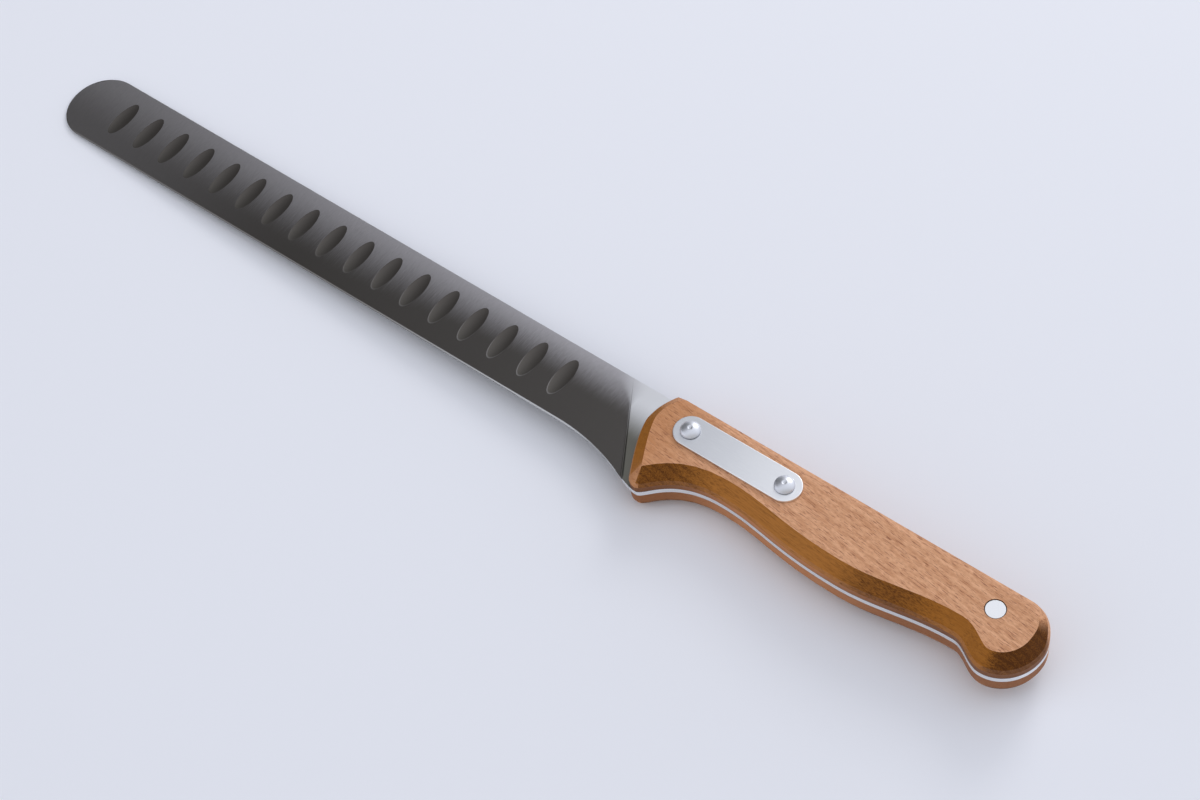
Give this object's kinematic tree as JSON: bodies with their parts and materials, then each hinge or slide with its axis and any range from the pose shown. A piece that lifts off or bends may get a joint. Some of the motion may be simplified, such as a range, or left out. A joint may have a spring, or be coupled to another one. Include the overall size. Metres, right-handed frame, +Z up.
{
  "type": "salmon knife",
  "caption": "Long round-tipped slicing knife with a dimpled full-tang blade and a riveted wooden handle, for cutting thin slices of salmon.",
  "frame": {"origin": "centre of the bounding box at the surface that the knife lies on", "axes": "+X from the tip to the butt, +Y from the cutting edge to the spine, +Z up from the surface; the knife lies on its far side and tips forward by 1.8 degrees until its tip meets the surface"},
  "size_m": [0.3908, 0.0334, 0.0212],
  "materials": {
    "blade_steel": "satin, brushed from spine to edge",
    "beech": "oiled beech, fine flecks along the length",
    "plate_steel": "satin",
    "rivet": "polished"
  },
  "bodies": {
    "root": {"blade": "blade_steel", "near_scale": "beech", "far_scale": "beech", "name_plate": "plate_steel", "front_rivet_pin": "rivet", "front_rivet_sleeve": "rivet", "middle_rivet_pin": "rivet", "middle_rivet_sleeve": "rivet", "rear_rivet_pin": "rivet", "rear_rivet_sleeve": "rivet"}
  },
  "joints": []
}
